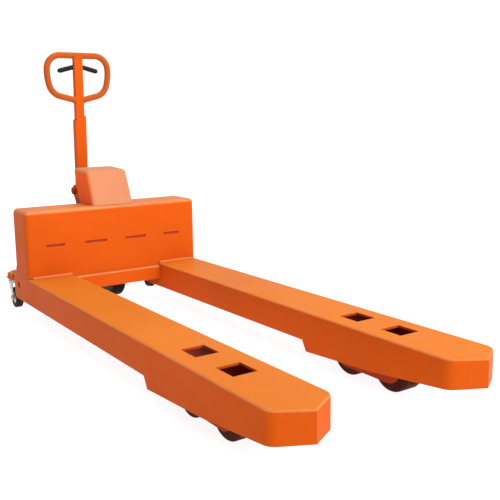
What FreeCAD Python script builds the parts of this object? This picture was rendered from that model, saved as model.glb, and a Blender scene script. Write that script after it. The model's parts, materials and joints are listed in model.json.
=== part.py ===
import FreeCAD, Part
import math
import os
import re
import Sketcher

# Electric pallet truck with raised forks, in millimetres, +Z up.
# The forks point along -Y, the tiller stands at the +Y end, and z = 0 is the floor.
# Every y below is counted from the front face of the battery box.

DIMS = {
    "truck_width": 846, "box_front": 705.5, "plate": 8, "sheet": 4, "gap": 0.5, "run_fit": 0.05,
    # forks
    "fork_width": 207, "fork_length": 1881, "fork_top": 203, "fork_root": 217, "root_round": 22,
    "seat_groove": 2, "lift_down": 36,
    "nose": 62.5, "nose_round": 45, "fork_round": 7, "root_depth": 117, "shallow_depth": 109,
    "step_top": 1137, "step_foot": 1160, "deep_depth": 148, "knee_at": 1500, "knee_depth": 127,
    "rise_at": 1793, "rise_depth": 95, "nose_depth": 90, "strap": 60, "strap_thick": 5,
    "window_long": 92, "window_wide": 82,
    # load wheels
    "roller_radius": 82.5, "roller_width": 75, "roller_pitch": 205, "bogie_y": -1418.6, "pin": 12.5,
    "arm_reach": 216.2, "arm_pivot_z": 95, "bogie_end": 50, "bogie_in": 42, "bogie_plate": 8,
    "arm_in": 52, "arm_plate": 10, "arm_end": 28, "tube_radius": 24,
    "lever_in": 7.6, "lever_plate": 8, "lever_end": 15, "lever_pin": 8, "arm_lever": 43.1,
    "arm_lever_lean": 5.1,
    # push rods and rear rockers
    "rod_thick": 14, "rod_tall": 32, "rod_eye": 10, "rocker_y": 153, "rocker_z": 155,
    "rocker_lever": 45, "rocker_lean": 4.9, "crank": 217, "crank_rise": 10, "crank_slot": 12,
    "crank_end": 22, "rocker_pin": 15, "rocker_tube": 23, "link_pin": 10, "link_clear": 0.8,
    # battery box, hood and crossbar
    "box_depth": 186, "box_height": 303, "box_corner": 20, "box_edge": 20, "box_rim": 36, "rim_low": 20,
    "slot_z": 345, "slot_tall": 11, "slot_mid_x": 100, "slot_mid": 108, "slot_end_x": 292, "slot_end": 85,
    "bar_front": -15, "bar_back": 55, "bar_low": 126, "bar_high": 193, "bar_round": 9,
    "hood_low": 102, "hood_high": 100, "hood_y": 10, "hood_back": 184, "hood_top_y": 80,
    "hood_top_back": 254, "hood_rise": 158, "hood_back_rise": 167, "hood_round": 18,
    # chassis
    "deck_z": 240, "deck_thick": 12, "deck_y": 200, "deck_back": 465, "cheek_x": 195, "cheek_thick": 10,
    "cheek_low": 120, "beam_y": 410, "beam_deep": 40, "beam_low": 142, "beam_high": 183,
    "pad_x": 345, "pad_out": 404, "pad_y": 330, "pad_high": 168, "lug_y": 352, "lug_reach": 18,
    "pump_y": 396, "ring_out": 90, "ring_in": 70,
    "cylinder_x": 234, "cylinder_y": 282, "cylinder_radius": 28, "cylinder_top": 350, "foot_half": 31,
    "ram_radius": 16, "ram_foot": 205, "head_low": 430, "head_tall": 25, "head_half": 400,
    "head_thick": 12, "cowl_half": 190, "cowl_y": 207, "cowl_top": 470, "cowl_wall": 3,
    "cowl_mouth": 126, "cowl_round": 30,
    # drive unit
    "steer_y": 315, "wheel_radius": 115, "wheel_in": 74, "wheel_out": 134, "tread": 22, "axle": 17.5,
    "case_half": 62, "case_long": 70, "motor_radius": 72, "motor_low": 272, "motor_high": 420,
    # tiller
    "tiller_y": 400, "tiller_lean": 2, "pivot_z": 545, "post_wide": 55, "post_deep": 36,
    "post_top": 908, "post_lean": 10, "post_wall": 3, "column_wide": 42, "column_deep": 28,
    "loop_top": 1213, "loop_radius": 15, "loop_low": 995, "loop_foot": 140, "loop_rise": 32,
    "loop_side": 158, "loop_side_z": 1115, "loop_head": 154, "cheek_gap": 30.5, "cheek_wide": 8,
    "boss": 24, "pivot_bolt": 10, "bolt_head": 17, "bolt_out": 12, "throttle_z": 1156,
    "throttle_shaft": 8, "thumb_in": 28, "thumb_out": 93, "thumb_drop": 17, "thumb_radius": 11,
    "panel_low": 1030, "panel_tall": 158, "panel_half": 18, "panel_thick": 3, "button_radius": 8,
    "button_out": 4, "button_in": 6, "pad_button": 15,
    "belly_tall": 34, "belly_z": 1160,
    # rear panel of the battery box
    "switch_z": 400, "key_x": -330, "key_hole": 8, "stop_x": 330, "stop_hole": 11, "socket_x": 300,
    "battery_long": 340, "battery_deep": 126, "battery_tall": 235,
    # castors
    "castor_x": 374, "castor_y": 388, "castor_radius": 50, "castor_wide": 34, "castor_trail": 28,
    "castor_top": 130, "castor_axle": 6, "kingpin": 10,
}

doc = FreeCAD.newDocument("pallet_truck")
sheet = doc.addObject("Spreadsheet::Sheet", "dims")
for row, (alias, number) in enumerate(DIMS.items(), 1):
    sheet.set(f"A{row}", alias)
    sheet.set(f"B{row}", str(number))
    sheet.setAlias(f"B{row}", alias)
doc.recompute()

SIDES = {"left": 1, "right": -1}
TURN = {
    "X": FreeCAD.Rotation(FreeCAD.Vector(0, 1, 0), 90),
    "Y": FreeCAD.Rotation(FreeCAD.Vector(1, 0, 0), -90),
    "Z": FreeCAD.Rotation(),
}
nodes = []


def formula(text):
    """An expression in which every word is a cell of the sheet, functions excepted."""
    words = r"(?<![\w.])(?!(?:sin|cos|sqrt)\b)[a-z][a-z0-9_]*"
    return re.sub(words, lambda word: "dims." + word.group(), str(text))


def size(alias):
    """The number in one cell of the sheet."""
    return float(getattr(sheet, alias))


def bind(item, **sizes):
    for prop, text in sizes.items():
        item.setExpression(prop, formula(text))
    return item


def move(item, x, y, z, rotation=None):
    """Bind the place of an object; keep its turn unless one is given."""
    if rotation is not None:
        item.Placement = FreeCAD.Placement(FreeCAD.Vector(), rotation)
    for axis, text in zip("xyz", (x, y, z)):
        item.setExpression(f"Placement.Base.{axis}", formula(text))
    return item


def box(length, width, height, x, y, z):
    """A block from its low corner."""
    item = bind(doc.addObject("Part::Box", "block"), Length=length, Width=width, Height=height)
    return move(item, x, y, z)


def slab(half, width, height, y, z):
    """A block centred on x = 0."""
    return box(f"2 * ({half})", width, height, f"-({half})", y, z)


def rod(radius, length, x, y, z, axis="Z"):
    """A round bar from its start point along an axis."""
    item = bind(doc.addObject("Part::Cylinder", "bar"), Radius=radius, Height=length)
    return move(item, x, y, z, TURN[axis])


def ball(radius, x, y, z):
    return move(bind(doc.addObject("Part::Sphere", "ball"), Radius=radius), x, y, z)


def fuse(*shapes):
    item = doc.addObject("Part::MultiFuse", "joined")
    item.Shapes = list(shapes)
    item.Refine = True
    return item


def cut(base, *tools):
    item = doc.addObject("Part::Cut", "cut")
    item.Base = base
    item.Tool = tools[0] if len(tools) == 1 else fuse(*tools)
    item.Refine = True
    return item


def common(first, second):
    item = doc.addObject("Part::MultiCommon", "shared")
    item.Shapes = [first, second]
    return item


def group(*shapes):
    """Separate pieces that make one node."""
    item = doc.addObject("Part::Compound", "group")
    item.Links = list(shapes)
    return item


def soften(base, radius, wanted, inset=0):
    """Round the edges whose midpoint passes the test; the inside of a wall is rounded by less."""
    doc.recompute()
    item = doc.addObject("Part::Fillet", "rounded")
    item.Base = base
    edges = enumerate(base.Shape.Edges, 1)
    item.Edges = [(i, size(radius) - inset, size(radius) - inset) for i, edge in edges if wanted(edge)]
    return item


def node(name, item, x=0, y=0, z=0, rotation=None):
    """Finish one sub-part: its label is the file name, y is counted from the box front."""
    item.Label = name
    move(item, x, f"box_front + ({y})", z, rotation)
    nodes.append(item)
    return item


def prism(plane, outline, length):
    """A padded polygon with its corners bound to the sheet."""
    body = doc.addObject("PartDesign::Body", "prism")
    sketch = body.newObject("Sketcher::SketchObject", "outline")
    base = next(f for f in body.Origin.OriginFeatures if f.Role == plane)
    sketch.AttachmentSupport = [(base, "")]
    sketch.MapMode = "FlatFace"
    count = len(outline)
    ring = [FreeCAD.Vector(math.cos(a), math.sin(a), 0) * 50
            for a in (math.tau * i / count for i in range(count))]
    for i in range(count):
        sketch.addGeometry(Part.LineSegment(ring[i], ring[(i + 1) % count]))
    for i in range(count):
        sketch.addConstraint(Sketcher.Constraint("Coincident", i, 2, (i + 1) % count, 1))
    for i, corner in enumerate(outline):
        for kind, start, text in zip(("DistanceX", "DistanceY"), ring[i], corner):
            number = sketch.addConstraint(Sketcher.Constraint(kind, i, 1, start))
            sketch.setExpression(f"Constraints[{number}]", formula(text))
    pad = body.newObject("PartDesign::Pad", "pad")
    pad.Profile = sketch
    bind(pad, Length=length)
    body.Tip = pad
    return body


def stadium(half, end, thick, x):
    """A plate with round ends across the x axis, lying along y."""
    middle = box(thick, f"2 * ({half})", f"2 * ({end})", x, f"-({half})", f"-({end})")
    ends = [rod(end, thick, x, f"{s}({half})", 0, "X") for s in ("", "-")]
    return fuse(middle, *ends)


def bent_tube(points, bends, radius):
    """A round tube through points, its inner corners turned with the given bend radii."""
    vectors = [FreeCAD.Vector(*p) for p in points]
    edges, start = [], vectors[0]
    for before, corner, after, bend in zip(vectors, vectors[1:], vectors[2:], bends):
        back, ahead = (before - corner).normalize(), (after - corner).normalize()
        half = back.getAngle(ahead) / 2
        reach = bend / math.tan(half)
        middle = corner + (back + ahead).normalize() * (bend / math.sin(half) - bend)
        entry, leave = corner + back * reach, corner + ahead * reach
        edges += [Part.makeLine(start, entry), Part.Arc(entry, middle, leave).toShape()]
        start = leave
    edges.append(Part.makeLine(start, vectors[-1]))
    ring = Part.Wire([Part.makeCircle(radius, vectors[0], vectors[1] - vectors[0])])
    item = doc.addObject("Part::Feature", "tube")
    item.Shape = Part.Wire(edges).makePipeShell([ring], True, False)
    return item


FORK_X = "(truck_width - fork_width) / 2"
ARM_LENGTH = "sqrt(arm_reach ^ 2 + (arm_pivot_z - roller_radius) ^ 2)"
BOX_TOP = "fork_top + box_height"
AXLE_PITCH = "roller_pitch / 2"


def fork(name, side):
    """An inverted channel with a pointed nose, a deep tip for the wheels and two windows."""
    half = "fork_width / 2"
    plan = prism("XY_Plane", [
        (f"-{half}", "fork_root"), (f"-{half}", "nose - fork_length"), (0, "-fork_length"),
        (half, "nose - fork_length"), (half, "fork_root")], "deep_depth")
    plan = move(plan, 0, 0, "-deep_depth")
    corner_y = size("nose") - size("fork_length")
    plan = soften(plan, "nose_round", lambda e: abs(e.CenterOfMass.y - corner_y) < 1
                  and abs(e.CenterOfMass.x) > 50)
    plan = soften(plan, "fork_round", lambda e: abs(e.CenterOfMass.z) < 0.1
                  and e.CenterOfMass.y < size("fork_root") - 1)
    side_view = prism("YZ_Plane", [
        ("fork_root + 1", 1), ("fork_root + 1", "root_round - root_depth"),
        ("fork_root - root_round / 4", "root_round / 4 - root_depth"),
        ("fork_root - root_round", "-root_depth"), ("-step_top", "-shallow_depth"),
        ("-step_foot", "-deep_depth"), ("-knee_at", "-knee_depth"), ("-rise_at", "-rise_depth"),
        ("-fork_length - 1", "-nose_depth"), ("-fork_length - 1", 1)], "fork_width")
    side_view = move(side_view, f"-{half}", 0, 0)
    inner = f"{half} - plate"
    hollow = prism("XY_Plane", [
        (f"-({inner})", "fork_root + 1"), (f"-({inner})", "nose - fork_length + 16"),
        (0, "-fork_length + 13"), (inner, "nose - fork_length + 16"), (inner, "fork_root + 1")],
        "deep_depth")
    hollow = move(hollow, 0, 0, "-deep_depth - plate")
    windows = [box("window_wide", "window_long", "3 * plate", "-window_wide / 2",
                   f"bogie_y {s} {AXLE_PITCH} - window_long / 2 - 3", "-2 * plate") for s in "+-"]
    pin_hole = rod("rocker_pin", "fork_width", f"-{half}", "rocker_y", "rocker_z - fork_top", "X")
    groove = slab(half, "seat_groove", 2, "-seat_groove", -1)
    shell = cut(common(plan, side_view), hollow, *windows, pin_hole, groove)
    straps = [slab(inner, "strap", "strap_thick", y, "-root_depth + 5") for y in ("-430", "-930")]
    node(name, fuse(shell, *straps), f"{side} * {FORK_X}", 0, "fork_top")


def turned(item, degrees):
    """Turn a piece about the x axis through its own origin."""
    item.Placement = FreeCAD.Placement(
        FreeCAD.Vector(), FreeCAD.Rotation(FreeCAD.Vector(1, 0, 0), degrees))
    return item


def lever(reach, degrees):
    """A pair of lever plates with a pin across their tips, turned from upright."""
    parts = [rod("lever_pin", "2 * lever_in", "-lever_in", 0, reach, "X")]
    for x in ("lever_in", "-lever_in - lever_plate"):
        parts.append(box("lever_plate", "2 * lever_end", reach, x, "-lever_end", 0))
        parts.append(rod("lever_end", "lever_plate", x, 0, reach, "X"))
    return turned(fuse(*parts), degrees)


def load_arm(name, side):
    """Two side plates on a cross tube, with the lever that the push rod pushes."""
    plates = []
    for x in ("arm_in", "-arm_in - arm_plate"):
        plate = stadium(f"{ARM_LENGTH} / 2", "arm_end", "arm_plate", x)
        plates.append(move(plate, 0, f"-{ARM_LENGTH} / 2", 0))
    tube = rod("tube_radius", "2 * arm_in", "-arm_in", 0, 0, "X")
    front_pin = rod("pin - run_fit", "2 * arm_in", "-arm_in", f"-{ARM_LENGTH}", 0, "X")
    drop = math.atan2(size("arm_pivot_z") - size("roller_radius"), size("arm_reach"))
    bars = turned(fuse(*plates, tube, front_pin), math.degrees(drop))
    bore = rod("pin", "2 * arm_in + 2 * arm_plate + 2", "-arm_in - arm_plate - 1", 0, 0, "X")
    arm = cut(fuse(bars, lever("arm_lever", -size("arm_lever_lean"))), bore)
    node(name, arm, f"{side} * {FORK_X}", "bogie_y + arm_reach", "arm_pivot_z")


def bogie(name, side):
    """Two plates with round ends, joined by the wheel axles and the pivot tube."""
    plates = [stadium(AXLE_PITCH, "bogie_end", "bogie_plate", x)
              for x in ("bogie_in", "-bogie_in - bogie_plate")]
    axles = [rod("pin - run_fit", "2 * bogie_in", "-bogie_in", f"{s}({AXLE_PITCH})", 0, "X")
             for s in ("", "-")]
    tube = rod("pin + 6", "2 * bogie_in", "-bogie_in", 0, 0, "X")
    bore = rod("pin", "2 * bogie_in + 20", "-bogie_in - 10", 0, 0, "X")
    frame = cut(fuse(*plates, *axles, tube), bore)
    node(name, frame, f"{side} * {FORK_X}", "bogie_y", "roller_radius")


def roller(name, side, end):
    """A load wheel with rounded rims and a dish around its bearing."""
    tyre = rod("roller_radius", "roller_width", "-roller_width / 2", 0, 0, "X")
    tyre = soften(tyre, "fork_round", lambda e: e.Length > 400)
    dishes = [rod("roller_radius * 0.55", 5, x, 0, 0, "X")
              for x in ("-roller_width / 2 - 1", "roller_width / 2 - 4")]
    bore = rod("pin", "roller_width + 2", "-roller_width / 2 - 1", 0, 0, "X")
    node(name, cut(tyre, *dishes, bore), f"{side} * {FORK_X}",
         f"bogie_y + ({end}) * {AXLE_PITCH}", "roller_radius")


def lever_tip(y, z, reach, degrees):
    """Where a lever turned from upright about (y, z) has its pin."""
    angle = math.radians(degrees)
    return y - size(reach) * math.sin(angle), z + size(reach) * math.cos(angle)


def push_rod(name, side):
    """A flat bar with an eye at each end, from the rocker lever to the load arm lever."""
    rear = lever_tip(size("rocker_y"), size("rocker_z"), "rocker_lever", 180 + size("rocker_lean"))
    front = lever_tip(size("bogie_y") + size("arm_reach"), size("arm_pivot_z"), "arm_lever",
                      -size("arm_lever_lean"))
    length = math.dist(rear, front)
    slope = math.degrees(math.atan2(rear[1] - front[1], rear[0] - front[0]))
    bar = box("rod_thick", length, "rod_tall", "-rod_thick / 2", 0, "-rod_tall / 2")
    ends = [rod("rod_tall / 2 + 1", "rod_thick", "-rod_thick / 2", y, 0, "X") for y in (0, length)]
    eyes = [rod("rod_eye", "rod_thick + 2", "-rod_thick / 2 - 1", y, 0, "X") for y in (0, length)]
    turn = FreeCAD.Rotation(FreeCAD.Vector(1, 0, 0), slope)
    node(name, cut(fuse(bar, *ends), *eyes), f"{side} * {FORK_X}", front[0], front[1], turn)


def rocker(name, side):
    """A bell crank: a slotted crank to the chassis pin and a lever down to the push rod."""
    cranks = []
    for x in ("lever_in", "-lever_in - lever_plate"):
        plate = stadium("(crank + crank_slot) / 2", "crank_end", "lever_plate", x)
        cranks.append(move(plate, 0, "(crank + crank_slot) / 2", 0))
    slot = stadium("crank_slot / 2", "link_pin + link_clear", 40, -20)
    slot = move(slot, 0, "crank + crank_slot / 2 - 1", 0)
    rise = math.degrees(math.atan2(size("crank_rise"), size("crank")))
    crank = turned(cut(fuse(*cranks), slot), rise)
    inner = "fork_width / 2 - plate - 2"
    tube = rod("rocker_tube", f"2 * ({inner})", f"-({inner})", 0, 0, "X")
    pusher = lever("rocker_lever", 180 + size("rocker_lean"))
    bore = rod("rocker_pin + run_fit", "fork_width", "-fork_width / 2", 0, 0, "X")
    node(name, cut(fuse(crank, tube, pusher), bore), f"{side} * {FORK_X}", "rocker_y", "rocker_z")


def linkage_pins():
    """The pivot pins of both rockers and both load arms, fixed in the forks."""
    pins = []
    inner = "(fork_width / 2 - plate)"
    for side in SIDES.values():
        x = f"{side} * {FORK_X}"
        reach = f"fork_width / 2 - {3 if side > 0 else 0}"
        low = f"{x} - fork_width / 2 + {0 if side > 0 else 3}"
        pins.append(rod("rocker_pin", "fork_width - 3", low, "rocker_y", "rocker_z", "X"))
        pins.append(rod("pin - run_fit", f"2 * {inner}", f"{x} - {inner}", "bogie_y + arm_reach",
                        "arm_pivot_z", "X"))
    node("linkage_pins", group(*pins))


def crossbar():
    """The beam that joins the two fork roots under the box, its front edge rounded."""
    half = f"{FORK_X} - fork_width / 2"
    beam = slab(half, "bar_back - bar_front", "bar_high - bar_low", "bar_front", "bar_low")
    beam = soften(beam, "bar_round", lambda e: e.Length > 100
                  and abs(e.CenterOfMass.y - size("bar_front")) < 1)
    hollow = slab(f"{half} + 1", "bar_back - bar_front", "bar_high - bar_low - 2 * plate",
                  "bar_front + plate", "bar_low + plate")
    riser = slab(half, "bar_back", "fork_top - bar_high + 1", 0, "bar_high - 1")
    node("crossbar", fuse(cut(beam, hollow), riser))


def wheel_sweep(grown):
    """The round space that the drive wheels need as they steer with the forks at their lowest."""
    radius = "sqrt(wheel_radius ^ 2 - (fork_top - lift_down - wheel_radius) ^ 2 + wheel_out ^ 2)"
    return rod(f"{radius} + 4 + {grown}", f"2 * wheel_radius + lift_down - fork_top + 9 + {grown}", 0,
               "steer_y", "fork_top - 5")


def round_box(item, inset):
    """Round the upright edges and the top edges of the box, outside or inside its wall."""
    height = size("box_height") - 2 * inset
    item = soften(item, "box_corner", lambda e: abs(e.Length - height) < 1, inset)
    top = size("fork_top") + size("box_height") - inset
    return soften(item, "box_edge", lambda e: abs(e.CenterOfMass.z - top) < 0.1, inset)


def battery_box():
    """The pressed steel box between forks and hood, open at the back, with four slots."""
    half = "truck_width / 2"
    shell = round_box(slab(half, "box_depth", "box_height", 0, "fork_top"), 0)
    inside = slab(f"{half} - sheet", "box_depth - 2 * sheet", "box_height - 2 * sheet", "sheet",
                  "fork_top + sheet")
    inside = cut(round_box(inside, size("sheet")), wheel_sweep("sheet"))
    mouth = slab(f"{half} - box_rim", "2 * sheet + 1", "box_height - 2 * rim_low",
                 "box_depth - 2 * sheet", "fork_top + rim_low")
    slots = [box(f"slot_{kind}", "3 * sheet", "slot_tall",
                 f"{side} * slot_{kind}_x - slot_{kind} / 2", "-sheet", "slot_z - slot_tall / 2")
             for kind in ("mid", "end") for side in SIDES.values()]
    node("battery_box", cut(shell, inside, mouth, wheel_sweep("0"), *slots))


def rear_cover():
    """The plate that closes the back of the battery box."""
    plate = slab("truck_width / 2 - box_rim + 12", "sheet", "box_height - 2 * rim_low + 20",
                 "box_depth", "fork_top + rim_low - 10")
    sockets = [rod(radius, 60, x, "box_depth - 20", "switch_z", "Y")
               for radius, x in (("key_hole", "key_x"), ("stop_hole", "stop_x"))]
    node("rear_cover", cut(plate, wheel_sweep("0"), *sockets))


def hood_shape(inset):
    """The leaning, tapered form of the hood, drawn in by a wall thickness."""
    side_view = prism("YZ_Plane", [
        (f"hood_y + {inset}", 0), (f"hood_back - {inset}", 0),
        (f"hood_top_back - {inset}", f"hood_back_rise - {inset}"),
        (f"hood_top_y + {inset}", f"hood_rise - {inset}")], "2 * hood_low")
    front_view = prism("XZ_Plane", [
        (f"{inset} - hood_low", 0), (f"hood_low - {inset}", 0), (f"hood_high - {inset}", "hood_back_rise"),
        (f"{inset} - hood_high", "hood_back_rise")], "hood_top_back - hood_y")
    move(side_view, "-hood_low", 0, 0)
    move(front_view, 0, "hood_top_back", 0)
    return common(side_view, front_view)


def hood():
    outer = hood_shape("0")
    outer = soften(outer, "hood_round", lambda e: e.CenterOfMass.z > 5)
    inner = soften(hood_shape("sheet"), "hood_round", lambda e: e.CenterOfMass.z > 5, size("sheet"))
    node("hood", cut(outer, inner), 0, 0, BOX_TOP)


def lift_crosshead():
    """The beam on the back of the box that rests on both lift rams."""
    beam = slab("head_half", "head_thick", "head_tall", "box_depth + sheet", "head_low")
    arms = [box(50, "cylinder_y + 30 - box_depth - sheet", "head_tall",
                f"{side} * cylinder_x - 25", "box_depth + sheet", "head_low")
            for side in SIDES.values()]
    node("lift_crosshead", fuse(beam, *arms))


def lift_cylinders():
    """Two barrels on the chassis feet, each bored for its ram."""
    barrels = []
    for side in SIDES.values():
        x = f"{side} * cylinder_x"
        foot = "beam_low"
        barrel = rod("cylinder_radius", f"cylinder_top - {foot}", x, "cylinder_y", foot)
        gland = rod("cylinder_radius + 4", 14, x, "cylinder_y", "cylinder_top - 14")
        bore = rod("ram_radius + run_fit", f"cylinder_top - {foot}", x, "cylinder_y", f"{foot} + 12")
        barrels.append(cut(fuse(barrel, gland), bore))
    node("lift_cylinders", group(*barrels))


def lift_rams():
    """The chromed rams under the crosshead, long enough to stay in at full height."""
    rams = [rod("ram_radius", "head_low - ram_foot", f"{side} * cylinder_x", "cylinder_y", "ram_foot")
            for side in SIDES.values()]
    node("lift_rams", group(*rams))


def chassis_frame():
    """Deck, cheeks, castor beams and pads, crank lugs and cylinder feet in one weldment."""
    deck = slab("cheek_x + cheek_thick", "deck_back - deck_y", "deck_thick", "deck_y", "deck_z")
    parts = [deck]
    for side in SIDES.values():
        low = {1: "", -1: "-"}[side]

        def block(x_in, x_out, y_from, y_to, z_from, z_to):
            x = x_in if side > 0 else f"-({x_out})"
            return box(f"({x_out}) - ({x_in})", f"({y_to}) - ({y_from})", f"({z_to}) - ({z_from})",
                       x, y_from, z_from)

        parts += [
            block("cheek_x", "cheek_x + cheek_thick", "deck_y", "deck_back", "cheek_low", "deck_z"),
            block("cheek_x", "pad_x", "beam_y", "beam_y + beam_deep", "beam_low", "beam_high"),
            block("cheek_x", "cylinder_x + foot_half", "cylinder_y - foot_half",
                  "cylinder_y + foot_half", "cheek_low", "beam_low"),
            block(f"{FORK_X} - rod_thick / 2", f"{FORK_X} + rod_thick / 2", "lug_y", "beam_y",
                  "beam_low", "beam_high"),
            rod("link_pin", "2 * lug_reach", f"{low}({FORK_X}) - lug_reach", "rocker_y + crank",
                "rocker_z + crank_rise", "X"),
        ]
        pad = prism("XY_Plane", [(f"{low}({x})", y) for x, y in (
            ("pad_x - 1", "pad_y"), ("pad_out", "pad_y"), ("pad_out", "castor_y + 12"),
            ("pad_x + 14", "beam_y + beam_deep"), ("pad_x - 1", "beam_y + beam_deep"))],
            "pad_high - beam_low")
        parts.append(move(pad, 0, 0, "beam_low"))
    holes = [rod("ring_out", 40, 0, "steer_y", "deck_z - 10")]
    holes += [rod("kingpin + run_fit", 80, f"{side} * castor_x", "castor_y", "beam_low - 10")
              for side in SIDES.values()]
    node("chassis_frame", cut(fuse(*parts), *holes))


def steering_bearing():
    ring = rod("ring_out", "deck_thick + 6", 0, 0, 0)
    bore = rod("ring_in + run_fit", 40, 0, 0, -10)
    node("steering_bearing", cut(ring, bore), 0, "steer_y", "deck_z - 3")


def cowl_shape(inset):
    """The rounded block of the cowl, outside or inside its wall."""
    shape = slab(f"cowl_half - {inset}", f"deck_back - cowl_y - 2 * {inset}",
                 f"cowl_top - deck_z - deck_thick - {inset}", f"cowl_y + {inset}", "deck_z + deck_thick")
    top = size("cowl_top") - inset
    height = top - size("deck_z") - size("deck_thick")
    shape = soften(shape, "cowl_round", lambda e: abs(e.Length - height) < 1, inset)
    return soften(shape, "hood_round", lambda e: abs(e.CenterOfMass.z - top) < 0.1, inset)


def cowl():
    """The shell over drive motor and hydraulics, with a mouth for the turning yoke."""
    outer = cowl_shape(0)
    inner = cowl_shape(size("cowl_wall"))
    mouth = rod("cowl_mouth", 60, 0, "steer_y", "cowl_top - 30")
    pipe_way = rod(7, 400, -200, "cylinder_y", "deck_z + deck_thick + 12", "X")
    node("cowl", cut(outer, inner, mouth, pipe_way))


def hydraulic_pack():
    """Pump motor, valve block and oil tank in one bolted unit behind the drive motor."""
    motor = rod(42, 110, -135, 0, 30)
    block = box(84, 84, 30, -177, -42, 0)
    link = box(270, 30, 24, -120, 12, 0)
    tank = box(84, 84, 140, 93, -42, 0)
    cap = rod(14, 10, 135, 0, 140)
    node("hydraulic_pack", fuse(motor, block, link, tank, cap), 0, "pump_y + 12", "deck_z + deck_thick")


def pressure_pipe():
    """The steel pipe from the pump that crosses in front of the motor to both cylinders."""
    z = size("deck_z") + size("deck_thick") + 12
    outer, inner = size("cylinder_x") - size("cylinder_radius"), 150
    back, front = size("cylinder_y"), size("cowl_y") + 14
    half = [(outer, back, z), (inner, back, z), (inner, front, z)]
    pipe = bent_tube(half + [(-x, y, z) for x, y, z in reversed(half)], [14] * 4, 5)
    node("pressure_pipe", pipe)


def screws(name, places, radius, head, axis="Y"):
    """Screw heads standing off a face, each along the axis from its place."""
    node(name, group(*[rod(radius, head, x, y, z, axis) for x, y, z in places]))


def castor_yoke(name, side, swivel):
    """Zinc-plated fork with its race, kingpin and axle; it trails along -y before its turn."""
    parts = [rod(30, 12, 0, 0, "castor_top - 12"), rod(24, "beam_low - castor_top - gap", 0, 0, "castor_top"),
             rod("kingpin", "pad_high - castor_top - 4", 0, 0, "castor_top")]
    for x in ("castor_wide / 2 + 2", "-castor_wide / 2 - 6"):
        leg = prism("YZ_Plane", [(24, "castor_top - 11"), (-27, "castor_top - 11"),
                                 ("-castor_trail - 13", "castor_radius"),
                                 ("13 - castor_trail", "castor_radius")], 4)
        parts += [move(leg, x, 0, 0), rod(13, 4, x, "-castor_trail", "castor_radius", "X")]
    parts.append(rod("castor_axle", "castor_wide + 4", "-castor_wide / 2 - 2", "-castor_trail",
                     "castor_radius", "X"))
    turn = FreeCAD.Rotation(FreeCAD.Vector(0, 0, 1), swivel)
    node(name, fuse(*parts), f"{side} * castor_x", "castor_y", 0, turn)


def castor_wheel(name, side, swivel):
    wheel = rod("castor_radius", "castor_wide", "-castor_wide / 2", 0, 0, "X")
    wheel = soften(wheel, "fork_round", lambda e: e.Length > 200)
    dishes = [rod("castor_radius * 0.6", 5, x, 0, 0, "X")
              for x in ("-castor_wide / 2 - 1", "castor_wide / 2 - 4")]
    bore = rod("castor_axle + run_fit", 60, -30, 0, 0, "X")
    angle = math.radians(swivel)
    trail = size("castor_trail")
    turn = FreeCAD.Rotation(FreeCAD.Vector(0, 0, 1), swivel)
    node(name, cut(wheel, *dishes, bore), side * size("castor_x") + trail * math.sin(angle),
         size("castor_y") - trail * math.cos(angle), "castor_radius", turn)


def turntable():
    shaft = rod("ring_in", "motor_low - 200", 0, 0, 200)
    flange = rod("ring_out - 5", 10, 0, 0, "motor_low - 10")
    node("turntable", fuse(shaft, flange), 0, "steer_y")


def gearcase():
    """The axle housing between the twin wheels, hung under the turntable."""
    drum = rod("case_long", "2 * case_half", "-case_half", 0, "wheel_radius", "X")
    neck = slab("case_half", "1.5 * case_long", "200 - wheel_radius", "-0.75 * case_long", "wheel_radius")
    bore = rod("axle + run_fit", "2 * case_half + 2", "-case_half - 1", 0, "wheel_radius", "X")
    node("gearcase", cut(fuse(drum, neck), bore), 0, "steer_y")


def drive_motor():
    can = rod("motor_radius", "motor_high - motor_low", 0, 0, "motor_low")
    ribs = [rod("motor_radius + 4", 6, 0, 0, f"motor_low + {z}") for z in range(20, 130, 20)]
    brake = rod(50, 10, 0, 0, "motor_high")
    node("drive_motor", fuse(can, *ribs, brake), 0, "steer_y")


def drive_hub(name, side):
    """Cast wheel centre with its half shaft and five bolt heads."""
    rim, middle = "wheel_radius - tread", "(wheel_in + wheel_out) / 2"
    disc = rod(rim, "wheel_out - wheel_in - 4", "wheel_in + 2", 0, 0, "X")
    dish = rod(f"{rim} - 12", 22, "wheel_out - 22", 0, 0, "X")
    shaft = rod("axle", "wheel_out - 12", 6, 0, 0, "X")
    bolts = []
    for i in range(5):
        angle = math.tau * i / 5
        y, z = 45 * math.cos(angle), 45 * math.sin(angle)
        bolts.append(rod(8, 30, f"{middle} - 5", y, z, "X"))
    hub = fuse(cut(disc, dish), shaft, rod(30, 34, f"{middle} - 8", 0, 0, "X"), *bolts)
    node(name, hub, 0, "steer_y", "wheel_radius", FreeCAD.Rotation(FreeCAD.Vector(0, 0, 1), 90 - 90 * side))


def drive_tyre(name, side):
    tyre = rod("wheel_radius", "wheel_out - wheel_in", "wheel_in", 0, 0, "X")
    tyre = soften(tyre, "fork_round", lambda e: e.Length > 200)
    bore = rod("wheel_radius - tread", "wheel_out", "wheel_in - 1", 0, 0, "X")
    node(name, cut(tyre, bore), 0, "steer_y", "wheel_radius",
         FreeCAD.Rotation(FreeCAD.Vector(0, 0, 1), 90 - 90 * side))


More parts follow.
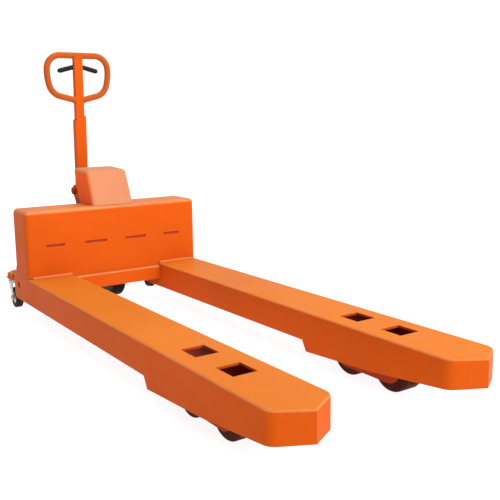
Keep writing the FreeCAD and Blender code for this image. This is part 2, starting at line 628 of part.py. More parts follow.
def tiller_yoke():
    """The bracket on the motor whose two cheeks hold the tiller pivot."""
    base = slab("cheek_gap + cheek_wide", "tiller_y - steer_y + 75", 12, "steer_y - tiller_y - 45",
                "motor_high + 10")
    parts = [base]
    for x in ("cheek_gap", "-cheek_gap - cheek_wide"):
        plate = prism("YZ_Plane", [(-100, "motor_high + 10"), (-45, "motor_high + 10"),
                                   (28, "pivot_z - 12"), (0, "pivot_z"), (-30, "pivot_z")], "cheek_wide")
        parts += [move(plate, x, 0, 0), rod(30, "cheek_wide", x, 0, "pivot_z", "X")]
    bore = rod("pivot_bolt", 100, -50, 0, "pivot_z", "X")
    node("tiller_yoke", cut(fuse(*parts), bore), 0, "tiller_y")


def pivot_bolt():
    head = "cheek_gap + cheek_wide"
    parts = [rod("pivot_bolt", f"2 * ({head}) + 10", f"-({head}) - 5", 0, 0, "X")]
    parts += [rod("bolt_head", "bolt_out", x, 0, 0, "X") for x in (head, f"-({head}) - bolt_out")]
    node("pivot_bolt", fuse(*parts), 0, "tiller_y", "pivot_z")


def on_tiller(name, item, x=0, y=0, z=0):
    """Finish a sub-part of the tiller, which leans forward about its pivot."""
    lean = FreeCAD.Rotation(FreeCAD.Vector(1, 0, 0), size("tiller_lean"))
    node(name, item, x, f"tiller_y + ({y}) * cos(tiller_lean) - (({z}) - pivot_z) * sin(tiller_lean)",
         f"pivot_z + ({y}) * sin(tiller_lean) + (({z}) - pivot_z) * cos(tiller_lean)",
         lean.multiply(item.Placement.Rotation))


def tiller_post():
    """The thick lower tube with its pivot boss; its top is cut on a slant."""
    half = "post_wide / 2"
    outer = prism("XZ_Plane", [
        (f"-{half}", "pivot_z"), (half, "pivot_z"), (half, "post_top + post_lean"),
        (f"-{half}", "post_top - post_lean")], "post_deep")
    outer = move(outer, 0, "post_deep / 2", 0)
    boss = rod("boss", "2 * cheek_gap - 1", "0.5 - cheek_gap", 0, "pivot_z", "X")
    inner = slab(f"{half} - post_wall", "post_deep - 2 * post_wall", "post_top", "post_wall - post_deep / 2",
                 "pivot_z + boss")
    bore = rod("pivot_bolt + run_fit", "3 * cheek_gap", "-1.5 * cheek_gap", 0, "pivot_z", "X")
    on_tiller("tiller_post", cut(fuse(outer, boss), inner, bore))


def button_wells():
    """Holes through the switch panel and the column's wall behind it."""
    low = "column_deep / 2 - post_wall - 1"
    wells = [rod("button_radius + gap", 40, 0, low, z, "Y") for z in BUTTONS.values()]
    return wells + [slab("pad_button + gap", 40, "belly_tall + 2 * gap", low,
                         "belly_z - belly_tall / 2 - gap")]


def tiller_column():
    foot = "(post_top - 28)"
    height = f"loop_top - 4 - {foot}"
    outer = slab("column_wide / 2", "column_deep", height, "-column_deep / 2", foot)
    inner = slab("column_wide / 2 - post_wall", "column_deep - 2 * post_wall", f"{height} + 2",
                 "post_wall - column_deep / 2", f"{foot} - 1")
    bore = rod("throttle_shaft + run_fit", 60, -30, 0, "throttle_z", "X")
    saddle = rod("loop_radius + gap", 80, -40, 0, "loop_top", "X")
    on_tiller("tiller_column", cut(outer, inner, bore, saddle, *button_wells()))


def tiller_loop():
    """The closed hand loop, welded to both sides of the column."""
    half = [(size("column_wide") / 2 - 9, 0, size("loop_low")),
            (size("loop_foot"), 0, size("loop_low") + size("loop_rise")),
            (size("loop_side"), 0, size("loop_side_z")), (size("loop_head"), 0, size("loop_top"))]
    path = half + [(-x, y, z) for x, y, z in reversed(half)]
    tube = bent_tube(path, [75, 200, 68, 68, 200, 75], size("loop_radius"))
    between = slab("column_wide / 2 + gap", 60, 80, -30, "loop_low - 40")
    on_tiller("tiller_loop", cut(tube, between))


def throttle():
    """The cross shaft in the column, and the two thumb levers on its ends."""
    shaft = rod("throttle_shaft", "2 * thumb_in", 0, 0, 0, "X")
    on_tiller("throttle_shaft", shaft, "-thumb_in", 0, "throttle_z")
    levers = []
    reach = math.hypot(size("thumb_out") - size("thumb_in"), size("thumb_drop"))
    tilt = 90 + math.degrees(math.atan2(size("thumb_drop"), size("thumb_out") - size("thumb_in")))
    for side in SIDES.values():
        bar = rod("thumb_radius", reach, f"{side} * thumb_in", 0, "throttle_z")
        bar.Placement.Rotation = FreeCAD.Rotation(FreeCAD.Vector(0, 1, 0), side * tilt)
        tip = ball("thumb_radius", f"{side} * thumb_out", 0, "throttle_z - thumb_drop")
        root = rod("thumb_radius", 6, f"{side} * thumb_in - 3", 0, "throttle_z", "X")
        sleeve = rod("throttle_shaft", "2 * thumb_in", "-thumb_in", 0, "throttle_z", "X")
        levers.append(cut(fuse(bar, tip, root), sleeve))
    on_tiller("thumb_levers", group(*levers))


def switch_panel():
    """The plate on the operator's face of the column that frames the buttons."""
    face = "column_deep / 2"
    plate = slab("panel_half", "panel_thick", "panel_tall", face, "panel_low")
    on_tiller("switch_panel", cut(plate, *button_wells()))


def buttons():
    front = "panel_thick + button_out"
    for name, z in BUTTONS.items():
        cap = rod("button_radius", f"{front} + button_in", 0, 0, 0, "Y")
        on_tiller(name, cap, 0, "column_deep / 2 - button_in", z)
    pad = slab("pad_button", f"{front} + 2", "belly_tall", 0, "-belly_tall / 2")
    pad = soften(pad, "panel_thick", lambda e: e.CenterOfMass.y > 8.9)
    on_tiller("belly_button", pad, 0, "column_deep / 2 - 1", "belly_z")


def panel_switches():
    """Key switch with its key, and the emergency stop, in the rear cover."""
    face = "box_depth + sheet"
    for name, radius, bore, flange, x in (("key_switch", "key_hole", 4, 13, "key_x"),
                                          ("stop_housing", "stop_hole", 6, 20, "stop_x")):
        body = fuse(rod(f"{radius} - gap", 12, 0, -12, 0, "Y"), rod(flange, 4, 0, 0, 0, "Y"))
        node(name, cut(body, rod(f"{bore} + run_fit", 60, 0, -40, 0, "Y")), x, face, "switch_z")
    key = fuse(rod(4, 26, 0, -12, 0, "Y"), box(3, 20, 24, -1.5, 12, -12))
    node("key", key, "key_x", face, "switch_z")
    stop = fuse(rod(6, 19, 0, -6, 0, "Y"), rod(19, 12, 0, 12, 0, "Y"))
    node("stop_button", stop, "stop_x", face, "switch_z")


def charge_socket():
    socket = cut(slab(36, 16, 50, 0, -25), slab(28, 12, 36, 6, -18))
    pins = [rod(4, 8, x, 5, 0, "Y") for x in (-14, 14)]
    node("charge_socket", fuse(socket, *pins), "socket_x", "box_depth + sheet", "switch_z - 110")


def batteries():
    blocks = []
    for side in SIDES.values():
        x = f"{side} * (battery_long / 2 + 20)"
        case = box("battery_long", "battery_deep", "battery_tall", f"{x} - battery_long / 2", 8,
                   "fork_top + sheet")
        posts = [rod(9, 16, f"{x} + {dx}", 40, "fork_top + sheet + battery_tall") for dx in (-140, 140)]
        blocks.append(fuse(case, *posts))
    node("batteries", group(*blocks))


def controller():
    base = slab(60, 90, 12, 0, 0)
    fins = [slab(52, 4, 40, y, 12) for y in range(6, 86, 12)]
    node("controller", fuse(base, *fins), 0, 50, BOX_TOP)


BUTTONS = {"lower_button": "panel_low + 20", "lift_button": "panel_low + 48", "horn_button": "panel_low + 80"}
SWIVEL = {"left": -52, "right": 0}

for side_name, side in SIDES.items():
    fork(f"fork_{side_name}", side)
    load_arm(f"load_arm_{side_name}", side)
    bogie(f"bogie_{side_name}", side)
    roller(f"front_roller_{side_name}", side, "-1")
    roller(f"rear_roller_{side_name}", side, "1")
    push_rod(f"push_rod_{side_name}", side)
    rocker(f"rocker_{side_name}", side)
    castor_yoke(f"castor_yoke_{side_name}", side, SWIVEL[side_name])
    castor_wheel(f"castor_wheel_{side_name}", side, SWIVEL[side_name])
    drive_hub(f"drive_hub_{side_name}", side)
    drive_tyre(f"drive_tyre_{side_name}", side)
linkage_pins()
crossbar()
battery_box()
rear_cover()
hood()
lift_crosshead()
lift_cylinders()
lift_rams()
chassis_frame()
steering_bearing()
cowl()
hydraulic_pack()
pressure_pipe()
turntable()
gearcase()
drive_motor()
tiller_yoke()
pivot_bolt()
tiller_post()
tiller_column()
tiller_loop()
throttle()
switch_panel()
buttons()
panel_switches()
charge_socket()
batteries()
controller()
screws("cover_screws", [(x, "box_depth + sheet", z) for x in (-385, -130, 130, 385)
                        for z in ("fork_top + 16", "fork_top + box_height - 16")], 6, 5)
screws("cowl_screws", [(x, "deck_back", "deck_z + deck_thick + 15") for x in (-140, -50, 50, 140)], 6, 5)
screws("pad_bolts", [(f"{side} * (castor_x + {x})", f"castor_y + {y}", "pad_high")
                     for side in SIDES.values() for x, y in ((-17, -26), (17, -26), (-17, 26))],
       6, 5, "Z")

doc.recompute()
for item in doc.Objects:
    if "Invalid" in item.State or "Error" in item.State:
        raise RuntimeError(f"{item.Name} did not build")
os.makedirs("parts", exist_ok=True)
for item in nodes:
    if item.Shape.isNull() or not item.Shape.isValid():
        raise RuntimeError(f"{item.Label} has no sound shape")
    item.Shape.exportStep(f"parts/{item.Label}.step")
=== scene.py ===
"""Looks of an electric pallet truck: camera, light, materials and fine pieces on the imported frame."""
import json
import math
import random

import bmesh
import bpy
from mathutils import Matrix, Vector


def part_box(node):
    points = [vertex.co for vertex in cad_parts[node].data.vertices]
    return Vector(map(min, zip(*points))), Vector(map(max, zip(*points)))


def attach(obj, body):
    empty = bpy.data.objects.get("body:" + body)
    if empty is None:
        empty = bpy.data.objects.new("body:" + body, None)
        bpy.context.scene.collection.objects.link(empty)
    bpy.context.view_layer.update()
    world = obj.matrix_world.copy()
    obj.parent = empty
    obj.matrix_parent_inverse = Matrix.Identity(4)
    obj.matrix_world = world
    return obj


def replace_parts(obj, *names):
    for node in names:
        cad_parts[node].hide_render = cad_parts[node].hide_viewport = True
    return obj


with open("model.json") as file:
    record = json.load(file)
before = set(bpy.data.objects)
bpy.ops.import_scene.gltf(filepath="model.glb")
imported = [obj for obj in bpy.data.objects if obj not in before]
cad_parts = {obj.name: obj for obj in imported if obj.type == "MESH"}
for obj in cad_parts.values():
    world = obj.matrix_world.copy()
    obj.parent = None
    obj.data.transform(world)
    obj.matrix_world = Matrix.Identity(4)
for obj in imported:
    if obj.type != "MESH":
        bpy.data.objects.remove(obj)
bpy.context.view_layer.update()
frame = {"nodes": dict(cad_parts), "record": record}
NODES = frame["nodes"]
SLOT_OF = {part["node"]: part["material_slot"] for part in frame["record"]["subparts"]}
BEHAVIOUR = frame["record"]["behaviour"]
BODY_OF = {node: body for body, group in BEHAVIOUR["bodies"].items() for node in group}
JOINTS = {joint["name"]: joint for joint in BEHAVIOUR["joints"]}
SIDES = {"left": 1, "right": -1}
X, Y, Z = Vector((1, 0, 0)), Vector((0, 1, 0)), Vector((0, 0, 1))
MM = 0.001
dice = random.Random(7)


# ---- camera, floor and light ----

EYE = Vector((-1.396, -2.494, 0.903))
HEADING, DIP, ROLL = math.radians(33.83), math.radians(9.08), math.radians(-0.85)
LENS = 53.24
SHIFT = (0.0036, -0.0304)
NEAR, FAR = 0.05, 60
FLOOR_REACH = 30


def camera():
    """The camera fitted to the edges of the truck in the photograph."""
    data = bpy.data.cameras.new("camera")
    data.lens = LENS
    data.shift_x, data.shift_y = SHIFT
    data.clip_start, data.clip_end = NEAR, FAR
    item = bpy.data.objects.new("camera", data)
    turn = Matrix.Rotation(-HEADING, 4, "Z") @ Matrix.Rotation(math.pi / 2 - DIP, 4, "X")
    item.matrix_world = Matrix.Translation(EYE) @ turn @ Matrix.Rotation(ROLL, 4, "Z")
    bpy.context.scene.collection.objects.link(item)
    bpy.context.scene.camera = item


def panel_light(name, place, aim, across, power, tint=(1, 1, 1)):
    """A rectangular light at a place, turned to an aim."""
    data = bpy.data.lights.new(name, "AREA")
    data.shape = "RECTANGLE"
    data.size, data.size_y = across
    data.energy = power
    data.color = tint
    item = bpy.data.objects.new(name, data)
    item.location = place
    item.rotation_euler = (Vector(aim) - Vector(place)).to_track_quat("-Z", "Y").to_euler()
    bpy.context.scene.collection.objects.link(item)


def sky():
    """A white sky ahead and above that falls off behind the viewer."""
    world = bpy.data.worlds.new("studio")
    world.use_nodes = True
    tree = world.node_tree
    way = tree.nodes.new("ShaderNodeTexCoord").outputs["Generated"]
    lean = tree.nodes.new("ShaderNodeVectorMath")
    lean.operation = "DOT_PRODUCT"
    lean.inputs[1].default_value = (0.85, 0.35, 0.40)
    level = tree.nodes.new("ShaderNodeMapRange")
    for key, value in (("From Min", -0.30), ("From Max", 0.32), ("To Min", 0.18), ("To Max", 1.04)):
        level.inputs[key].default_value = value
    tree.links.new(way, lean.inputs[0])
    tree.links.new(lean.outputs["Value"], level.inputs["Value"])
    tree.links.new(level.outputs[0], tree.nodes["Background"].inputs["Strength"])
    tree.nodes["Background"].inputs["Color"].default_value = (1, 1, 1, 1)
    return world


def studio():
    """White surroundings, three soft panels and a bright floor, as on a product photograph."""
    scene = bpy.context.scene
    scene.view_settings.view_transform = "Standard"
    scene.world = sky()
    panel_light("top_panel", (-0.2, -0.4, 3.4), (0, 0, 0.2), (3.6, 3.6), 62, (1, 0.97, 0.92))
    panel_light("front_panel", (0.2, -8.6, 2.2), (0, 0, 0.3), (6.0, 4.0), 325)
    panel_light("hood_panel", (1.1, -2.6, 3.0), (0, 0.75, 0.6), (1.8, 1.4), 42)
    form = bmesh.new()
    bmesh.ops.create_grid(form, x_segments=8, y_segments=8, size=FLOOR_REACH)
    mesh = bpy.data.meshes.new("floor")
    form.to_mesh(mesh)
    form.free()
    floor = bpy.data.objects.new("floor", mesh)
    scene.collection.objects.link(floor)
    mesh.materials.append(floor_coating())


# ---- materials ----

SAMPLES = 6
MIX_FIRST, MIX_SECOND, MIX_RESULT = 6, 7, 2    # the colour sockets of a mix node
# how far the occlusion reaches that paints shade deep inside the forks, and the occlusion range over
# which that painted shade fades out
SHADE_REACH, SHADE_DEEP, SHADE_OPEN = 0.25, 0.22, 0.46


class Surface:
    """A Principled material whose patterns are fixed to the piece."""

    def __init__(self, name, color, rough, metal=0.0):
        self.material = bpy.data.materials.new(name)
        self.material.use_nodes = True
        self.tree = self.material.node_tree
        self.shader = self.tree.nodes["Principled BSDF"]
        self.color = (*color, 1)
        self.shader.inputs["Base Color"].default_value = self.color
        self.shader.inputs["Roughness"].default_value = rough
        self.shader.inputs["Metallic"].default_value = metal
        space = self.add("ShaderNodeTexCoord")
        self.place, self.facing = space.outputs["Object"], space.outputs["Normal"]

    def add(self, kind, **sockets):
        """A node with its sockets set to numbers or linked to other sockets."""
        item = self.tree.nodes.new(kind)
        for key, value in sockets.items():
            socket = item.inputs[key.replace("_", " ")]
            self.feed(socket, value)
        return item

    def feed(self, socket, value):
        """Link a socket to another one, or set it to a value."""
        if isinstance(value, bpy.types.NodeSocket):
            self.tree.links.new(value, socket)
        else:
            socket.default_value = value

    def noise(self, scale, detail=3.0, stretch=(1, 1, 1), rough=0.5):
        """A noise pattern in the piece's own space."""
        space = self.add("ShaderNodeMapping", Vector=self.place, Scale=stretch).outputs[0]
        item = self.add("ShaderNodeTexNoise", Vector=space, Scale=scale, Detail=detail, Roughness=rough)
        return item.outputs["Fac"]

    def spread(self, source, low, high, to_low=0.0, to_high=1.0):
        """Map one range of a pattern to another, kept inside it."""
        item = self.add("ShaderNodeMapRange", Value=source)
        item.inputs["From Min"].default_value = low
        item.inputs["From Max"].default_value = high
        item.inputs["To Min"].default_value = to_low
        item.inputs["To Max"].default_value = to_high
        return item.outputs[0]

    def math(self, kind, first, second):
        """A sum or a product of two values."""
        item = self.add("ShaderNodeMath")
        item.operation = kind
        self.feed(item.inputs[0], first)
        self.feed(item.inputs[1], second)
        return item.outputs[0]

    def mix(self, factor, first, second):
        """The first colour at factor 0 and the second at factor 1."""
        item = self.add("ShaderNodeMix")
        item.data_type = "RGBA"
        self.feed(item.inputs["Factor"], factor)
        self.feed(item.inputs[MIX_FIRST], first)
        self.feed(item.inputs[MIX_SECOND], second)
        return item.outputs[MIX_RESULT]

    def tone(self, factor):
        """The material's own colour, lighter or darker."""
        return (*(min(1.0, channel * factor) for channel in self.color[:3]), 1)

    def edges(self, radius):
        """How near a point is to a sharp edge, from 0 to 1, and the rounded normal there."""
        item = self.add("ShaderNodeBevel", Radius=radius)
        item.samples = SAMPLES
        flat = self.add("ShaderNodeNewGeometry").outputs["Normal"]
        product = self.add("ShaderNodeVectorMath")
        product.operation = "DOT_PRODUCT"
        self.feed(product.inputs[0], item.outputs[0])
        self.feed(product.inputs[1], flat)
        return self.spread(product.outputs["Value"], 0.995, 0.90), item.outputs[0]

    def bump(self, source, depth, strength, normal=None):
        """A normal tilted by a pattern, on top of another normal if there is one."""
        item = self.add("ShaderNodeBump", Height=source, Strength=strength, Distance=depth)
        if normal is not None:
            self.feed(item.inputs["Normal"], normal)
        return item.outputs[0]

    def set(self, **sockets):
        """Feed the shader and hand over the finished material."""
        for key, value in sockets.items():
            self.feed(self.shader.inputs[key.replace("_", " ")], value)
        return self.material


def floor_coating():
    """A matt floor that glows, so that it looks white and takes a very faint shadow."""
    look = Surface("floor_coating", (0.37, 0.37, 0.37), 0.8)
    tone = look.mix(look.noise(1.5), look.tone(0.985), look.tone(1.0))
    skin = look.bump(look.noise(90), 0.0004, 0.3)
    return look.set(Base_Color=tone, Normal=skin, Specular_IOR_Level=0.0,
                    Emission_Color=(1, 1, 1, 1), Emission_Strength=0.9)


def paint(name, color, rough, top_sheen=None, steep=(0.2, 0.9), bend_highlight=None, shaded_inside=False):
    """Powder coat with mottling, orange peel, scuffs and chipped edges.

    The top colour is a painted sheen on upper faces, standing in for reflected light, and steep is the
    range of their upward slope; the bend colour is a painted highlight on bends that lie between
    upright and level; a piece may also get painted shade deep inside it.
    """
    look = Surface(name, color, rough)
    edge, rounded = look.edges(1.6 * MM)
    base = look.color
    upward = look.add("ShaderNodeSeparateXYZ", Vector=look.facing).outputs["Z"]
    # painted sheen: upper faces get a lighter, yellower colour standing in for reflected light, varied
    # by noise
    if top_sheen:
        sheen_variation = look.spread(look.noise(3.5, 5), 0.3, 0.7, 0.85, 1.0)
        base = look.mix(look.math("MULTIPLY", look.spread(upward, *steep), sheen_variation), base, (*top_sheen, 1))
    # painted highlight: bends between upright and level get a lighter colour in noisy patches, standing
    # in for the shine of rounded edges
    if bend_highlight:
        bend = look.math("MULTIPLY", look.spread(upward, 0.1, 0.4), look.spread(upward, 0.99, 0.9))
        patches = look.spread(look.noise(11, 5), 0.3, 0.6, 0.6, 1.0)
        base = look.mix(look.math("MULTIPLY", bend, patches), base, (*bend_highlight, 1))
    broad = look.spread(look.noise(2.2, 5), 0.35, 0.65, -0.05, 0.03)
    fine = look.spread(look.noise(60, 2), 0.45, 0.75, 0, -0.04)
    mottle = look.math("ADD", look.math("ADD", broad, fine), 1.0)
    streaks = look.spread(look.noise(9, 6, (14, 0.7, 5)), 0.62, 0.68)
    scuff = look.math("MULTIPLY", streaks, look.spread(look.noise(5), 0.5, 0.7))
    mottled = look.add("ShaderNodeHueSaturation", Color=base, Value=mottle).outputs[0]
    pale = (*(0.7 * channel + 0.22 for channel in color), 1)
    chips = look.math("MULTIPLY", edge, look.spread(look.noise(45, 4), 0.42, 0.62, 0.2, 1.0))
    tone = look.mix(look.math("MULTIPLY", scuff, 0.1), mottled, pale)
    tone = look.mix(look.math("MULTIPLY", chips, 0.3), tone, pale)
    # painted shade: where ambient occlusion is low, deep inside the piece, the colour is mixed towards
    # a dark red
    if shaded_inside:
        cover = look.add("ShaderNodeAmbientOcclusion", Distance=SHADE_REACH)
        cover.samples = SAMPLES
        tone = look.mix(look.spread(cover.outputs["AO"], SHADE_DEEP, SHADE_OPEN), (*INSIDE_SHADE, 1), tone)
    dull = look.spread(look.noise(7, 5), 0.3, 0.7, rough - 0.06, rough + 0.08)
    dull = look.math("ADD", dull, look.math("MULTIPLY", scuff, 0.2))
    skin = look.bump(look.noise(420, 2), 0.00025, 0.3, rounded)
    skin = look.bump(look.noise(30, 2), 0.0008, 0.1, skin)
    return look.set(Base_Color=tone, Roughness=dull, Normal=skin, Specular_IOR_Level=0.02)


def metal(name, color, rough, grain, metallic=1.0, depth=0.00012):
    """Bare or plated steel: brushed or turned grain, dull patches and brighter edges."""
    look = Surface(name, color, rough, metallic)
    edge, rounded = look.edges(0.8 * MM)
    tone = look.mix(look.spread(look.noise(25, 5), 0.35, 0.7), look.tone(0.8), look.tone(1.05))
    tone = look.mix(look.math("MULTIPLY", edge, 0.4), tone, look.tone(1.4))
    dull = look.spread(look.noise(40, 4), 0.3, 0.7, rough - 0.08, rough + 0.12)
    skin = look.bump(look.noise(600, 3, grain), depth, 0.4, rounded)
    return look.set(Base_Color=tone, Roughness=dull, Normal=skin)


def casting(name, color, rough=0.6):
    """Sand-cast skin: a coarse pebble, darker patches and brighter edges."""
    look = Surface(name, color, rough, 0.35)
    edge, rounded = look.edges(1.5 * MM)
    tone = look.mix(look.spread(look.noise(14, 6), 0.35, 0.7), look.tone(0.7), look.tone(1.15))
    tone = look.mix(look.math("MULTIPLY", edge, 0.35), tone, look.tone(1.8))
    skin = look.bump(look.noise(260, 5), 0.0007, 0.5, rounded)
    dull = look.spread(look.noise(30), 0.3, 0.7, rough - 0.1, rough + 0.15)
    return look.set(Base_Color=tone, Roughness=dull, Normal=skin)


def plastic(name, color, rough=0.45, grain=0.3, shine=0.5):
    """Moulded plastic with a fine spark-eroded texture and handled, shinier patches."""
    look = Surface(name, color, rough)
    edge, rounded = look.edges(0.8 * MM)
    tone = look.mix(look.spread(look.noise(18, 4), 0.35, 0.7), look.tone(0.88), look.tone(1.12))
    tone = look.mix(look.math("MULTIPLY", edge, 0.2), tone, look.tone(1.6))
    skin = look.bump(look.noise(900, 2), 0.00015, grain, rounded)
    dull = look.spread(look.noise(12, 4), 0.3, 0.7, rough - 0.1, rough + 0.1)
    return look.set(Base_Color=tone, Roughness=dull, Normal=skin, Specular_IOR_Level=shine)


def tread(name, color, dust, rough=0.62):
    """Polyurethane or rubber: dusty running face, small nicks and a faint mottling."""
    look = Surface(name, color, rough)
    edge, rounded = look.edges(2 * MM)
    tone = look.mix(look.spread(look.noise(20, 5), 0.35, 0.7), look.tone(0.75), look.tone(1.2))
    dirt = look.spread(look.noise(55, 6, rough=0.7), 0.42, 0.72, 0, 0.6)
    tone = look.mix(dirt, tone, (*dust, 1))
    tone = look.mix(look.math("MULTIPLY", edge, 0.3), tone, (*dust, 1))
    nicks = look.spread(look.noise(160, 3), 0.66, 0.72, 1, 0)
    skin = look.bump(nicks, 0.0008, 0.35, look.bump(look.noise(500, 3), 0.0002, 0.4, rounded))
    dull = look.spread(look.noise(25), 0.3, 0.7, rough - 0.1, rough + 0.15)
    return look.set(Base_Color=tone, Roughness=dull, Normal=skin, Specular_IOR_Level=0.08)


ORANGE = (0.61, 0.089, 0.006)
# The next colours are painted light: the sheen of upper faces, the highlight of bends and weld beads,
# and the shade deep inside the forks.
TOP_SHEEN = (0.62, 0.168, 0.018)
ROUNDING_HIGHLIGHT = (0.66, 0.22, 0.08)
INSIDE_SHADE = (0.30, 0.02, 0.008)
MATERIALS = {
    # plain orange with a painted sheen on its upper faces
    "orange_paint": lambda: paint("orange_paint", ORANGE, 0.42, TOP_SHEEN),
    # forks: painted sheen on tops, painted highlight on bends and painted shade deep inside
    "fork_paint": lambda: paint("fork_paint", ORANGE, 0.42, TOP_SHEEN, (0.2, 0.9), (0.66, 0.20, 0.06),
                                shaded_inside=True),
    # box and crossbar: painted sheen on tops and painted highlight on bends
    "box_paint": lambda: paint("box_paint", ORANGE, 0.42, (0.58, 0.19, 0.055), (0.3, 0.98), ROUNDING_HIGHLIGHT),
    # weld beads: a painted highlight over most of the bead
    "bead_highlight_paint": lambda: paint("bead_highlight_paint", ORANGE, 0.42, ROUNDING_HIGHLIGHT, (-0.2, 0.5)),
    # hood: a brighter copy of the orange standing in for light on its sides, with a painted reflection
    # of the bright ceiling on its sloping front and top
    "hood_lit_paint": lambda: paint("hood_lit_paint", (0.92, 0.12, 0.006), 0.42, (0.54, 0.232, 0.12),
                                (0.1, 0.38)),
    # tiller loop: a darker copy of the orange standing in for shade, with a painted highlight on its
    # upper faces
    "loop_shaded_paint": lambda: paint("loop_shaded_paint", (0.46, 0.09, 0.016), 0.42, (0.56, 0.17, 0.05),
                                (0.5, 1.0)),
    # pin ends: dark paint standing in for the shade of their recessed holes
    "pin_shade_paint": lambda: paint("pin_shade_paint", (0.16, 0.02, 0.008), 0.5),
    "red_paint": lambda: paint("red_paint", (0.42, 0.05, 0.012), 0.45),
    "black_paint": lambda: paint("black_paint", (0.018, 0.018, 0.02), 0.4),
    "zinc": lambda: metal("zinc", (0.62, 0.58, 0.52), 0.38, (1, 1, 6), 0.85),
    "pin_steel": lambda: metal("pin_steel", (0.48, 0.48, 0.49), 0.32, (8, 1, 1)),
    "ram_chrome": lambda: metal("ram_chrome", (0.8, 0.8, 0.82), 0.12, (1, 1, 4), 1.0, 0.00003),
    "cast_hub": lambda: casting("cast_hub", (0.026, 0.024, 0.024)),
    "tyre": lambda: tread("tyre", (0.014, 0.003, 0.002), (0.030, 0.010, 0.007)),
    "load_wheel": lambda: tread("load_wheel", (0.06, 0.008, 0.003), (0.10, 0.028, 0.014)),
    "castor_wheel": lambda: tread("castor_wheel", (0.02, 0.012, 0.009), (0.07, 0.045, 0.035)),
    "black_plastic": lambda: plastic("black_plastic", (0.006, 0.006, 0.0065), 0.5, 0.3, 0.2),
    "grey_button": lambda: plastic("grey_button", (0.18, 0.19, 0.2), 0.35, 0.15),
    "green_button": lambda: plastic("green_button", (0.02, 0.17, 0.045), 0.35, 0.15),
    "yellow_button": lambda: plastic("yellow_button", (0.72, 0.4, 0.01), 0.35, 0.15),
    "red_button": lambda: plastic("red_button", (0.5, 0.008, 0.006), 0.32, 0.15),
    "battery_case": lambda: plastic("battery_case", (0.03, 0.032, 0.035), 0.5),
    "motor_case": lambda: casting("motor_case", (0.13, 0.135, 0.14), 0.5),
}
# coats: the box, crossbar and forks carry painted sheen and highlights, the forks also painted shade;
# the hood is a lit copy of the orange, the loop a shaded copy, and the pins are dark for the shade of
# their holes
COATS = {"battery_box": "box_paint", "crossbar": "box_paint", "fork_left": "fork_paint",
         "fork_right": "fork_paint", "hood": "hood_lit_paint", "tiller_loop": "loop_shaded_paint",
         "linkage_pins": "pin_shade_paint"}
made = {}


def material(slot):
    """The material of a slot or a coat, made the first time it is asked for."""
    if slot not in made:
        made[slot] = MATERIALS[slot]()
    return made[slot]


def dress_nodes():
    """The record's slot on every node, or the coat of paint that COATS gives it."""
    for name, item in NODES.items():
        item.data.materials.clear()
        item.data.materials.append(material(COATS.get(name, SLOT_OF[name])))


# ---- building fine pieces ----

def piece(name, form, slot, body, sharp=math.radians(32), coat=None):
    """Turn finished mesh work into a piece that rides on a body; a coat is a paint of its own."""
    bmesh.ops.recalc_face_normals(form, faces=form.faces)
    mesh = bpy.data.meshes.new(name)
    form.to_mesh(mesh)
    form.free()
    mesh.shade_smooth()
    mesh.set_sharp_from_angle(angle=sharp)
    mesh.materials.append(material(coat or slot))
    item = bpy.data.objects.new(name, mesh)
    bpy.context.scene.collection.objects.link(item)
    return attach(item, body)


def pose(centre, axis):
    """A frame at a point, with its z along an axis."""
    return Matrix.Translation(centre) @ axis.to_track_quat("Z", "Y").to_matrix().to_4x4()


def bridge(form, rings):
    """Join closed rings of equally many vertices by quads."""
    for low, high in zip(rings, rings[1:]):
        count = len(low)
        for here in range(count):
            after = (here + 1) % count
            form.faces.new((low[here], low[after], high[after], high[here]))


def on_circle(radius, angle, height):
    """A point at an angle on a level circle."""
    return Vector((radius * math.cos(angle), radius * math.sin(angle), height))


def ring_of(form, place, radius, height, corners, start=0.0):
    """A level ring of vertices in the frame of a place."""
    points = []
    for corner in range(corners):
        angle = start + math.tau * corner / corners
        points.append(form.verts.new(place @ on_circle(radius, angle, height)))
    return points


def in_mm(*pairs):
    """A profile whose pairs are given in millimetres."""
    return [(radius * MM, height * MM) for radius, height in pairs]


def turned(form, centre, axis, profile, corners=40, start=0.0):
    """A turned form from (radius, height) pairs; a zero radius closes it with a face."""
    place = pose(centre, axis)
    rings = [ring_of(form, place, radius, height, corners, start)
             for radius, height in profile if radius > 0]
    bridge(form, rings)
    if profile[0][0] == 0:
        form.faces.new(rings[0])
    if profile[-1][0] == 0:
        form.faces.new(rings[-1])


def screw_head(form, centre, axis, radius, height, turn):
    """A button head with a hexagon socket."""
    corners = 36
    place = pose(centre, axis)
    dome = [(1.0, 0.0), (1.0, 0.45), (0.9, 0.75), (0.7, 0.95), (0.55, 1.0)]
    rings = [ring_of(form, place, radius * wide, height * level, corners) for wide, level in dome]
    socket = []
    for level in (1.0, 0.35):
        loop = []
        for corner in range(corners):
            angle = math.tau * corner / corners
            apart = (angle + turn) % (math.pi / 3) - math.pi / 6
            reach = 0.42 * radius / math.cos(apart)
            loop.append(form.verts.new(place @ on_circle(reach, angle, height * level)))
        socket.append(loop)
    bridge(form, rings + socket)
    form.faces.new(socket[-1])
    form.faces.new(rings[0])


def hex_head(form, centre, axis, across, height, turn=0.0):
    """A hexagon bolt head with its washer and a turned chamfer."""
    low, washer, reach = height * 0.22, across * 0.82, across / math.sqrt(3)
    turned(form, centre, axis, [(0, 0), (washer, 0), (washer, low), (across * 0.5, low)])
    turned(form, centre, axis, [(reach, low), (reach, height * 0.88), (reach * 0.86, height),
                                (0, height)], 6, turn)


